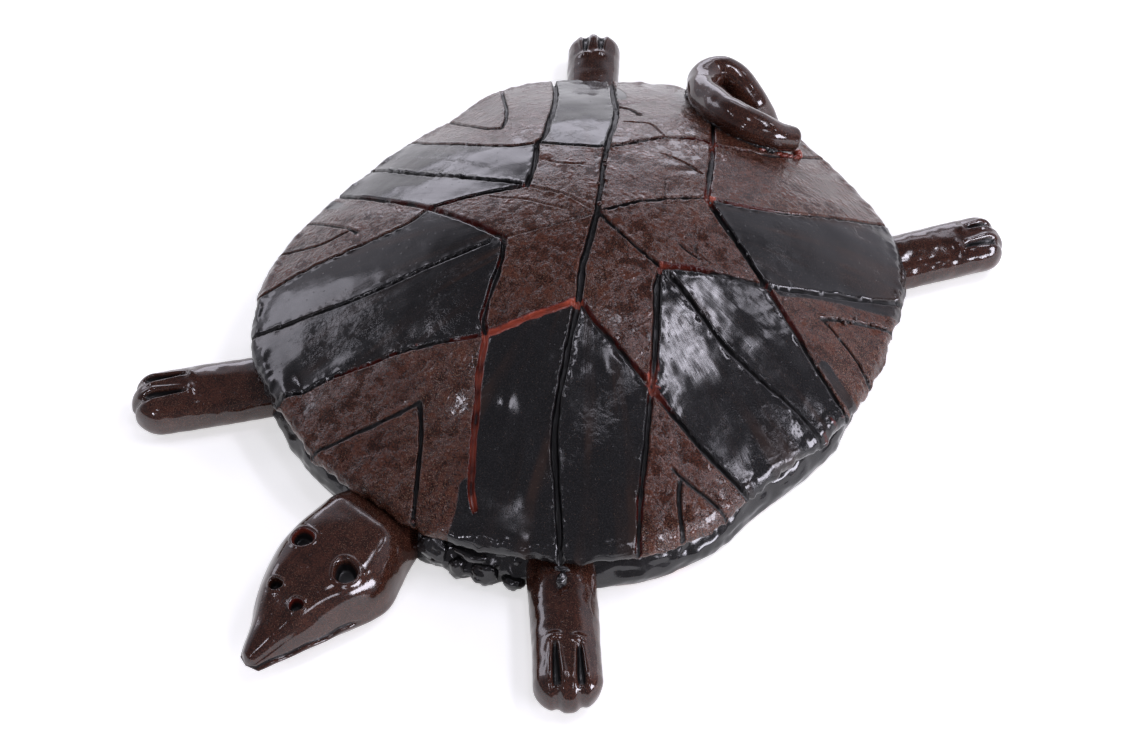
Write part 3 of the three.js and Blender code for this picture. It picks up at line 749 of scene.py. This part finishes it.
def head_outline(count):
    """Even steps round a section of the head, as factors of its half sizes."""
    right = np.array(HEAD_OUTLINE) * (HEAD_ASPECT, 1)
    loop = smooth_path(np.vstack([right, right[-2::-1] * (-1, 1)]), 0.005) / (HEAD_ASPECT, 1)
    at = np.linspace(0, len(loop) - 1, count, endpoint=False)
    return [np.interp(at, np.arange(len(loop)), column) for column in loop.T]


def head_holes(x, y):
    """How deep the holes are, how high their rims stand, and how red they are."""
    cut, rim, red = np.zeros_like(x), np.zeros_like(x), np.zeros_like(x)
    for at_x, at_y, radius, depth, redness in HEAD_HOLES:
        turn = np.arctan2(y - at_y, x - at_x)
        reach = radius * (1 + 0.06 * np.sin(2 * turn + at_x) + 0.05 * np.sin(3 * turn))
        ratio = np.hypot(x - at_x, y - at_y) / reach
        cut = np.maximum(cut, depth * (1 - smooth_step(0.62, 1.05, ratio)))
        rim = rim + 0.4 * bell((ratio - 1.18) / 0.15)
        red = np.maximum(red, redness * (1 - smooth_step(0.9, 1.25, ratio)))
    return cut, rim, red


def head(material):
    y, middle, half, top, low = smooth_path(HEAD_SECTIONS, LIMB_STEP).T
    across, over = head_outline(HEAD_SIDES)
    x = middle[:, None] + half[:, None] * across
    z = low[:, None] + (top - low)[:, None] * (1 + over) / 2
    y = np.repeat(y[:, None], HEAD_SIDES, axis=1)
    flat = np.column_stack([x.ravel(), y.ravel(), z.ravel()])
    swell = 0.45 * waves(flat, 15, 41) + 0.05 * waves(flat, 5, 42)
    swell = swell.reshape(x.shape) * smooth_step(0, 3, z)
    x = x + swell * across
    z = z + swell * np.clip(over, -0.3, 1)
    on_top = smooth_step(0.35, 0.7, over)
    z = z + 1.1 * smooth_step(152, 172, -y) * (1 - (across / 0.7) ** 2) * on_top
    cut, rim, red = head_holes(x, y)
    z = z + (rim - cut) * on_top
    from_mouth = z - MOUTH_HEIGHT - 0.4 * np.sin(y * 0.5)
    forward = smooth_step(154, 160, -y)
    on_side = smooth_step(0.7, 0.95, np.abs(across)) * forward
    line = bell(from_mouth / 0.55) * on_side
    lip = bell((from_mouth + 1.5) / 1.0) * on_side
    x = x + np.sign(across) * (0.5 * lip - 1.1 * line)
    rings = np.stack([x, y, np.maximum(z, 0.05)], axis=-1)
    points, faces = closed_rings(rings, [2.5, -106, 9], SNOUT_TIP)
    # The holes and the mouth line darken with their depth: painted shade, with some pooled glaze.
    deep = np.clip(np.maximum(cut / 4, line), 0, 1)
    wear = 0.6 * smooth_step(1.1, 1.5, waves(flat, 7, 45))
    wear = np.maximum(red.ravel(), wear)
    return piece_of("turtle_head", points, faces, material, "brown_glaze", "head",
                    clay=np.r_[wear, 0, 0], deep=np.r_[deep.ravel(), 0, 0],
                    across=points[:, 0] + points[:, 2], along=points[:, 1])


# The tail

# The middle of the coil, as x, y and z, and its radius.
TAIL_COIL = [
    (-4, 109, 11.5, 5.4), (-6.2, 113.4, 15.5, 5.6), (-8.6, 113.2, 21, 5.7),
    (-11.4, 112.2, 26.5, 5.8), (-15.6, 111.4, 32, 5.9), (-20.8, 111.2, 36.2, 5.9),
    (-26.4, 109.8, 38.4, 6.1), (-29.6, 105, 38.8, 6.4), (-27.4, 98.2, 39.8, 6.6),
    (-20.5, 91, 42.5, 6.7), (-9.2, 86, 46, 6.8), (1.4, 84.6, 47, 6.6),
    (10.4, 88, 44.9, 5.9), (16.2, 94.8, 40.1, 4.9),
]
TAIL_SIDES = 110


def tail(material):
    path = smooth_path(TAIL_COIL, LIMB_STEP)
    centre, radius = path[:, :3], path[:, 3]
    along = np.gradient(centre, axis=0)
    along /= np.linalg.norm(along, axis=1)[:, None]
    # The blunt end: rings that close over the last point.
    past = np.sin(np.linspace(0, math.pi / 2, 14))[1:-1]
    reach = radius[-1] * 0.75
    centre = np.vstack([centre, centre[-1] + along[-1] * past[:, None] * reach])
    radius = np.r_[radius, radius[-1] * (1 - past**3.2) ** 0.45]
    along = np.vstack([along, np.repeat(along[-1:], len(past), axis=0)])
    side = np.cross([0, 0, 1.0], along)
    side /= np.linalg.norm(side, axis=1)[:, None]
    over = np.cross(along, side)
    turn = np.linspace(0, 2 * math.pi, TAIL_SIDES, endpoint=False)
    out = side[:, None] * np.cos(turn)[:, None] + over[:, None] * np.sin(turn)[:, None]
    rings = centre[:, None] + out * radius[:, None, None]
    flat = rings.reshape(-1, 3)
    swell = 0.35 * waves(flat, 9, 51) + 0.05 * waves(flat, 4, 52)
    rings = rings + out * swell.reshape(rings.shape[:2])[..., None]
    points, faces = closed_rings(rings, centre[0], centre[-1] + along[-1] * 0.2)
    from_end = np.linalg.norm(points - centre[-1], axis=1)
    wear = 0.9 * (1 - smooth_step(2.5, 5.5, from_end)) * (0.6 + 0.5 * waves(points, 3, 54))
    turns = np.tile(turn * 6, len(centre))
    lengths = np.repeat(np.arange(len(centre)) * LIMB_STEP, TAIL_SIDES)
    return piece_of("tail_coil", points, faces, material, "brown_glaze", "tail", clay=wear,
                    across=np.r_[turns, 0, 0], along=np.r_[lengths, 0, lengths[-1]])


# Loose crumbs and joints of clay

CRUMB_FINENESS = 3


def crumb_shape():
    mesh = bmesh.new()
    bmesh.ops.create_icosphere(mesh, subdivisions=CRUMB_FINENESS, radius=1)
    points = np.array([tuple(v.co) for v in mesh.verts])
    faces = np.array([[v.index for v in face.verts] for face in mesh.faces])
    mesh.free()
    return points, faces


def crumbs(name, places, material, slot):
    """One mesh of lumps, each given by its place, radii, turn, blackness and redness."""
    shape, shape_faces = crumb_shape()
    points, faces, black, clay = [], [], [], []
    for number, (place, radii, turn, dark, red) in enumerate(places):
        c, s = math.cos(turn), math.sin(turn)
        rough = 1 + 0.28 * waves(shape * 3 + number * 5, 3, 61)
        rough = rough + 0.12 * waves(shape * 3 + number, 1, 62)
        lump = shape * rough[:, None] * np.array(radii)
        lump = lump @ np.array([[c, s, 0], [-s, c, 0], [0, 0, 1]])
        faces.append(shape_faces + len(shape) * number)
        points.append(lump + np.array(place))
        black.append(np.full(len(shape), dark))
        clay.append(np.full(len(shape), red))
    points = np.vstack(points)
    points[:, 2] = np.maximum(points[:, 2], 0.05)
    return piece_of(name, points, np.vstack(faces).tolist(), material, slot,
                    black=np.concatenate(black), clay=np.concatenate(clay))


def crumb(place, size, dark, red):
    """One crumb of a random shape and redness, in the form that crumbs() takes."""
    radii = rng.uniform(*size) * rng.uniform(0.6, 1.3, 3)
    return place, radii, rng.uniform(0, 6), dark, rng.uniform(*red)


def rim_crumbs(start, end, count, low, high, out, size, dark, red):
    """Crumbs strewn along an arc of the rim, between two angles in degrees."""
    made = []
    for angle in np.radians(rng.uniform(start, end, count)):
        radius = float(rim_radius(angle)) + rng.uniform(*out)
        place = (radius * math.cos(angle), radius * math.sin(angle), rng.uniform(low, high))
        made.append(crumb(place, size, dark, (0.4 * red, red)))
    return made


def on_shell(x, y, lift=0.0):
    return (x, y, float(shell_height(np.array([[x, y]]))[0]) + lift)


def line_crumbs(name, count, reach, size, dark, red):
    """Crumbs thrown up beside an incised line."""
    groove = GROOVES[name]
    made = []
    for at in rng.integers(2, len(groove.path) - 2, count):
        x, y = groove.path[at] + groove.side[at] * rng.uniform(-reach, reach)
        if math.hypot(x, y) < float(rim_radius(math.atan2(y, x))) - 4:
            made.append(crumb(on_shell(x, y), size, dark, (0.3 * red, red)))
    return made


# Lines with crumbs beside them: how many, how far out, sizes, blackness, redness.
LINE_CRUMBS = [
    ("v4", 9, 1.6, (0.5, 1.0), 0, 0.1), ("n4_p4", 9, 1.8, (0.3, 0.6), 0.2, 0.45),
    ("c_n4", 7, 1.8, (0.4, 0.8), 0.3, 0.2), ("n3_p3", 6, 1.6, (0.35, 0.7), 0.8, 0.3),
    ("c_n2", 4, 1.4, (0.3, 0.6), 0, 0.2), ("n1_p2", 5, 1.4, (0.3, 0.6), 0.2, 0.4),
    ("b17", 6, 1.4, (0.3, 0.7), 0.1, 0.5),
]


def shell_crumbs(material):
    made = rim_crumbs(-103, -80, 18, 21.5, 23, (-2.5, -0.8), (0.5, 1.2), 0, 0.5)
    made += rim_crumbs(-4, 6, 14, 22, 24, (-4.5, -1.5), (0.6, 1.3), 1, 0.55)
    for line in LINE_CRUMBS:
        made += line_crumbs(*line)
    # The tongue of glaze that hangs over the front leg where a line ends.
    made.append(((71.5, -104.5, 19.5), (1.9, 2.8, 2.6), 0.6, 1, 0))
    made.append(((70, -102.4, 22.2), (2.2, 1.3, 0.8), 0.6, 1, 0))
    return crumbs("shell_crumbs", made, material, "brown_glaze")


def base_crumbs(material):
    """Lumps of clay pressed on between the neck and the front leg."""
    made = [
        ((25, -117, 10), (5.5, 4.5, 6), 0.3, 1, 0), ((34, -115.5, 5), (4.5, 3.6, 4.6), 0.2, 1, 0),
        ((44, -112, 6), (5, 3.2, 4.2), 0.5, 1, 0), ((53, -107.5, 4.5), (4, 3, 3.4), 0.6, 1, 0),
        ((38, -112.5, 13), (6, 2.8, 2.6), 0.4, 1, 0), ((60, -103.5, 8), (2.6, 2.2, 3.4), 0.6, 1, 0.9),
    ]
    return crumbs("base_crumbs", made, material, "black_glaze")


def tail_joint(material):
    """The wad of clay that holds up the bend, and the fillet under the coil."""
    made = [
        ((-30, 97, 31), (4.4, 4.2, 4.6), 0.4, 1, 0.2),
        ((-25.5, 93, 33.5), (4.2, 3.4, 3.8), 0.2, 1, 0.0),
        ((-20.5, 88.5, 35.5), (3.6, 2.8, 3.0), 0.8, 1, 0.0),
        ((-33.5, 100.5, 29.5), (3.2, 3.4, 4.0), 0.0, 1, 0.0),
    ]
    for part in np.linspace(0, 1, 12):
        x = -18 + 32 * part
        y = 84.5 - 5.5 * math.sin(part * math.pi) + 0.5 * part
        made.append((on_shell(x, y, 0.3), (3.0, 1.6, 1.6), -0.5 + part, 1, 0.0))
    for part in np.linspace(0, 1, 7):
        x, y = 12.5 + 8 * part, 82 + 11 * part
        made.append((on_shell(x, y, -0.2), (1.7, 0.9, 0.8), 0.95, 0, 0.75))
    made.append((on_shell(19.5, 96, 0.5), (2.2, 1.8, 2.2), 0.3, 0, 0.8))
    return crumbs("tail_joint", made, material, "brown_glaze")


# Materials


class Nodes:
    """Short ways to make and join the nodes of a material or a world."""

    def __init__(self, owner):
        self.owner = owner
        owner.use_nodes = True
        self.tree = owner.node_tree
        self.tree.nodes.clear()

    def node(self, kind, inputs=None, **settings):
        made = self.tree.nodes.new("ShaderNode" + kind)
        for key, value in settings.items():
            setattr(made, key, value)
        for key, value in (inputs or {}).items():
            if isinstance(value, bpy.types.NodeSocket):
                self.tree.links.new(value, made.inputs[key])
            else:
                made.inputs[key].default_value = value
        return made

    def plus(self, a, b):
        return self.node("Math", {0: a, 1: b}, operation="ADD").outputs[0]

    def minus(self, a, b):
        return self.node("Math", {0: a, 1: b}, operation="SUBTRACT").outputs[0]

    def times(self, a, b):
        return self.node("Math", {0: a, 1: b}, operation="MULTIPLY").outputs[0]

    def blend(self, part, a, b):
        inputs = {0: part, 6: a, 7: b}
        return self.node("Mix", inputs, data_type="RGBA").outputs[2]

    def noise(self, place, scale, detail=2.0, roughness=0.5):
        inputs = {"Vector": place, "Scale": scale, "Detail": detail, "Roughness": roughness}
        return self.node("TexNoise", inputs).outputs[0]

    def rise(self, value, low, high, to_low=0.0, to_high=1.0):
        inputs = {0: value, 1: low, 2: high, 3: to_low, 4: to_high}
        return self.node("MapRange", inputs, interpolation_type="SMOOTHSTEP").outputs[0]

    def attribute(self, name):
        return self.node("Attribute", attribute_name=name).outputs["Fac"]

    def show(self, owner_kind, shader_kind, inputs):
        self.node("Output" + owner_kind, {0: self.node(shader_kind, inputs).outputs[0]})


BROWN_DARK = (0.017, 0.0058, 0.004, 1)
BROWN_LIGHT = (0.105, 0.035, 0.021, 1)
BROWN_FLECK = (0.24, 0.145, 0.095, 1)
# The near black of the deepest cuts: glaze pooled there, and painted shade.
BLACK_POOLED_AND_SHADED = (0.003, 0.0026, 0.003, 1)
BLACK_COOL = (0.0085, 0.0085, 0.009, 1)
BLACK_GRAINY = (0.017, 0.0165, 0.0175, 1)
BLACK_BROWNED = (0.038, 0.021, 0.0155, 1)
CLAY_BRIGHT = (0.44, 0.095, 0.055, 1)
CLAY_DARK = (0.06, 0.007, 0.005, 1)


def glaze_nodes(name, all_black):
    """The noises of a glaze, and what the mesh says: where it is black, worn or deep, depth giving
    painted shade and pooled glaze.
    """
    s = Nodes(bpy.data.materials.new(name))
    s.all_black = all_black
    place = s.node("TexCoord").outputs["Object"]
    place = s.node("VectorMath", {0: place, "Scale": 1 / MM}, operation="SCALE").outputs[0]
    strokes = s.node("CombineXYZ", {0: s.attribute("across"), 1: s.attribute("along")}).outputs[0]
    drawn = s.node("Mapping", {"Vector": strokes, "Scale": (1.0, 0.09, 1.0)}).outputs[0]
    s.place = place
    s.mottle = s.noise(place, 0.16, 6.0, 0.68)
    s.patches = s.noise(place, 0.035, 3.0)
    s.grain = s.noise(place, 1.7, 3.0, 0.7)
    s.specks = s.noise(place, 2.6, 1.0)
    s.streak = s.noise(drawn, 0.55, 4.0, 0.6)
    s.bands = s.noise(drawn, 0.17, 2.0)
    s.rough_edge = s.times(s.minus(s.grain, 0.5), 0.22)
    s.field = 1.0
    if not all_black:
        s.field = s.rise(s.plus(s.attribute("black"), s.rough_edge), 0.46, 0.54)
    s.clay_at = s.attribute("clay")
    s.worn = s.rise(s.plus(s.clay_at, s.times(s.rough_edge, 3.0)), 0.3, 0.5)
    s.deep = s.attribute("deep")
    return s


def brown_colour(s, lightest):
    tone = s.plus(s.times(s.mottle, 0.35), s.times(s.grain, 0.65))
    tone = s.plus(tone, s.times(s.minus(s.streak, 0.5), 0.2))
    brown = s.blend(s.rise(tone, 0.4, 0.62, 0.0, lightest), BROWN_DARK, BROWN_LIGHT)
    fleck = s.times(s.rise(s.specks, 0.58, 0.70), s.rise(s.patches, 0.4, 0.64, 0.15, 0.85))
    return s.blend(s.times(fleck, lightest), brown, BROWN_FLECK)


def black_colour(s):
    black = s.blend(s.rise(s.grain, 0.38, 0.64), BLACK_COOL, BLACK_GRAINY)
    browned = s.times(s.rise(s.bands, 0.46, 0.75), s.rise(s.patches, 0.4, 0.65, 0.15, 0.75))
    black = s.blend(browned, black, BLACK_BROWNED)
    return s.blend(s.rise(s.specks, 0.69, 0.76, 0.0, 0.3), black, BROWN_FLECK)


def glaze_colour(s, lightest):
    colour = black_colour(s)
    if not s.all_black:
        colour = s.blend(s.field, brown_colour(s, lightest), colour)
    bright = s.rise(s.plus(s.clay_at, s.rough_edge), 0.5, 1.15)
    colour = s.blend(s.worn, colour, s.blend(bright, CLAY_DARK, CLAY_BRIGHT))
    # Deep in the cuts the colour goes near black: partly glaze pooled there, partly painted shade.
    return s.blend(s.rise(s.deep, 0.2, 0.75), colour, BLACK_POOLED_AND_SHADED)


def glaze_roughness(s, satin):
    brown = s.rise(s.grain, 0.34, 0.66, 1.35 * satin, 0.6 * satin)
    black = s.rise(s.mottle, 0.35, 0.65, 0.1, 0.18)
    inputs = {0: s.field, 2: brown, 3: black}
    rough = s.node("Mix", inputs, data_type="FLOAT").outputs[0]
    rough = s.plus(rough, s.times(s.worn, 0.06))
    return s.plus(rough, s.rise(s.deep, 0.2, 0.75, 0.0, 0.3))


def glaze_relief(s, fine_relief, spark, hammer, drag):
    hammered = s.times(s.noise(s.place, 0.2, 0.5), hammer)
    hammered = s.times(hammered, s.rise(s.attribute("calm"), 0.2, 1.0, 1.0, 0.25))
    sparks = s.times(s.noise(s.place, 0.62, 0.6), spark)
    sparks = s.times(sparks, s.rise(s.mottle, 0.44, 0.6, 0.2, 1.0))
    fine = s.times(s.noise(s.place, 1.3, 1.0), fine_relief)
    if not s.all_black:
        # The black glaze is smoother, apart from some patches of it.
        fine = s.times(fine, s.rise(s.field, 0.0, 1.0, 1.0, 0.1))
        left = s.rise(s.patches, 0.5, 0.64, 0.02, 0.4)
        on_black = s.times(s.minus(1.0, left), s.field)
        sparks = s.times(sparks, s.minus(1.0, on_black))
    cells = s.node("TexVoronoi", {"Vector": s.place, "Scale": 0.35})
    pits = s.times(s.rise(cells.outputs["Distance"], 0.05, 0.13), 0.08)
    height = s.plus(s.plus(hammered, fine), s.plus(pits, s.times(s.streak, drag)))
    return s.plus(height, sparks)


GLAZE_IOR = 1.5
BUMP_STRENGTH = 0.75


def glaze(name, satin=0.1, fine_relief=0.02, spark=0.0, hammer=0.45, drag=0.05,
          lightest=1.0, shine=0.5, all_black=False):
    """A glaze: satin is the roughness of its brown, and lightest how light that gets.

    Fine relief, spark, hammer and drag are heights in millimetres: of the grain, of
    the bumps that glint, of the hammered surface and of the brush marks.
    """
    s = glaze_nodes(name, all_black)
    height = glaze_relief(s, fine_relief, spark, hammer, drag)
    bump = s.node("Bump", {"Height": height, "Distance": MM, "Strength": BUMP_STRENGTH})
    inputs = {"Base Color": glaze_colour(s, lightest), "Roughness": glaze_roughness(s, satin),
              "IOR": GLAZE_IOR, "Normal": bump.outputs[0], "Specular IOR Level": shine}
    s.show("Material", "BsdfPrincipled", inputs)
    return s.owner


def floor_material():
    s = Nodes(bpy.data.materials.new("studio_floor"))
    inputs = {"Base Color": (0.95, 0.95, 0.95, 1), "Roughness": 0.9, "Specular IOR Level": 0.1,
              "Emission Color": (1, 1, 1, 1), "Emission Strength": 0.55}
    s.show("Material", "BsdfPrincipled", inputs)
    return s.owner


# The studio

AIM = np.array([18.77, -8.39, 23.0])
CAMERA_AT = np.array([366.22, -422.46, 667.18])
LENS = 75.3
SENSOR_WIDTH = 36
# Softboxes: azimuth from +Y towards +X, elevation, distance and size in metres, and
# radiance. The first three are one key light with a soft edge, the last two are
# white panels low on the side away from it, and the rest each light a few edges.
SOFTBOXES = [
    (33, 58.5, 1.5, (0.46, 0.19), 6.0),
    (32, 60, 1.5, (0.30, 0.11), 9.0),
    (35, 57, 1.5, (0.64, 0.32), 1.6),
    (25, 41, 1.5, (0.20, 0.16), 5.0),
    (60, 36, 1.5, (0.10, 0.10), 14.0),
    (82, 15, 1.5, (0.66, 0.34), 15.0),
    (58, 56, 1.5, (0.34, 0.08), 13.0),
    (163, 52, 1.5, (0.16, 0.07), 13.0),
    (170, 30, 1.5, (0.16, 0.12), 22.0),
    (-118, 54, 1.5, (0.12, 0.08), 18.0),
    (-30, 30, 2.2, (0.6, 0.26), 1.8),
    (48, 81, 1.5, (0.34, 0.22), 6.5),
    (106, 36, 1.5, (0.26, 0.20), 6.0),
    (-44, 11, 2.2, (1.8, 0.62), 2.8),
    (-98, 24, 2.2, (0.9, 0.7), 2.6),
]
SOFTBOX_TARGET = (0, 0, 0.03)
LIGHT_TINT = (0.97, 0.945, 1.07)
# The paper sweep glows at the horizon and fades between these two sines of the
# elevation. The room's own glow is even and dim.
HORIZON_GLOW = 0.74
ROOM_GLOW = 0.13
GLOW_FALL = (0.42, 0.74)
# The side on which the sweep stands, and how it ends towards the other side, where
# only a part of its glow is left.
BACK_GLOW = 0.12
SWEEP_SIDE = (-math.sin(math.radians(40)), math.cos(math.radians(40)), 0)
SWEEP_REACH = (-0.1, 0.45)


def look(thing, at, target):
    thing.location = at
    thing.rotation_euler = (Vector(target) - Vector(at)).to_track_quat("-Z", "Y").to_euler()
    scene.collection.objects.link(thing)


def camera():
    data = bpy.data.cameras.new("camera")
    data.lens = LENS
    data.sensor_width = SENSOR_WIDTH
    data.clip_start = 0.05
    made = bpy.data.objects.new("camera", data)
    look(made, CAMERA_AT * MM, AIM * MM)
    scene.camera = made


def softbox(number, azimuth, elevation, distance, size, radiance):
    data = bpy.data.lights.new(f"softbox_{number}", "AREA")
    data.shape = "RECTANGLE"
    data.size, data.size_y = size
    data.energy = radiance * math.pi * size[0] * size[1]
    data.color = LIGHT_TINT
    azimuth, elevation = math.radians(azimuth), math.radians(elevation)
    level = math.cos(elevation)
    at = (math.sin(azimuth) * level, math.cos(azimuth) * level, math.sin(elevation))
    look(bpy.data.objects.new(data.name, data), Vector(at) * distance, SOFTBOX_TARGET)


def world():
    s = Nodes(bpy.data.worlds.new("studio"))
    place = s.node("TexCoord").outputs["Generated"]
    up = s.node("SeparateXYZ", {0: place}).outputs["Z"]
    facing = s.node("VectorMath", {0: place, 1: SWEEP_SIDE}, operation="DOT_PRODUCT")
    glow = s.rise(up, *GLOW_FALL, HORIZON_GLOW - ROOM_GLOW, 0)
    glow = s.times(glow, s.rise(facing.outputs["Value"], *SWEEP_REACH, BACK_GLOW, 1))
    inputs = {"Color": (*LIGHT_TINT, 1), "Strength": s.plus(glow, ROOM_GLOW)}
    s.show("World", "Background", inputs)
    scene.world = s.owner


FLOOR_REACH = 4.0


def floor():
    mesh = bpy.data.meshes.new("floor")
    corners = np.array([(-1, -1, 0), (1, -1, 0), (1, 1, 0), (-1, 1, 0)]) * FLOOR_REACH
    mesh.from_pydata(corners.tolist(), [], [[0, 1, 2, 3]])
    mesh.materials.append(floor_material())
    made = bpy.data.objects.new("floor", mesh)
    scene.collection.objects.link(made)


shell_glaze = glaze("shell_glaze", satin=0.12, fine_relief=0.025, spark=0.42, hammer=0.45)
limb_glaze = glaze("limb_glaze", hammer=0.04, drag=0.04, lightest=0.5, shine=0.7)
base_glaze = glaze("base_glaze", hammer=0.3, shine=0.6, all_black=True)
carapace(shell_glaze)
plastron(base_glaze)
head(limb_glaze)
tail(limb_glaze)
for leg_name in LEGS:
    leg(leg_name, limb_glaze)
shell_crumbs(limb_glaze)
base_crumbs(base_glaze)
tail_joint(limb_glaze)

camera()
for number, box in enumerate(SOFTBOXES, 1):
    softbox(number, *box)
world()
floor()
scene.view_settings.view_transform = "Standard"
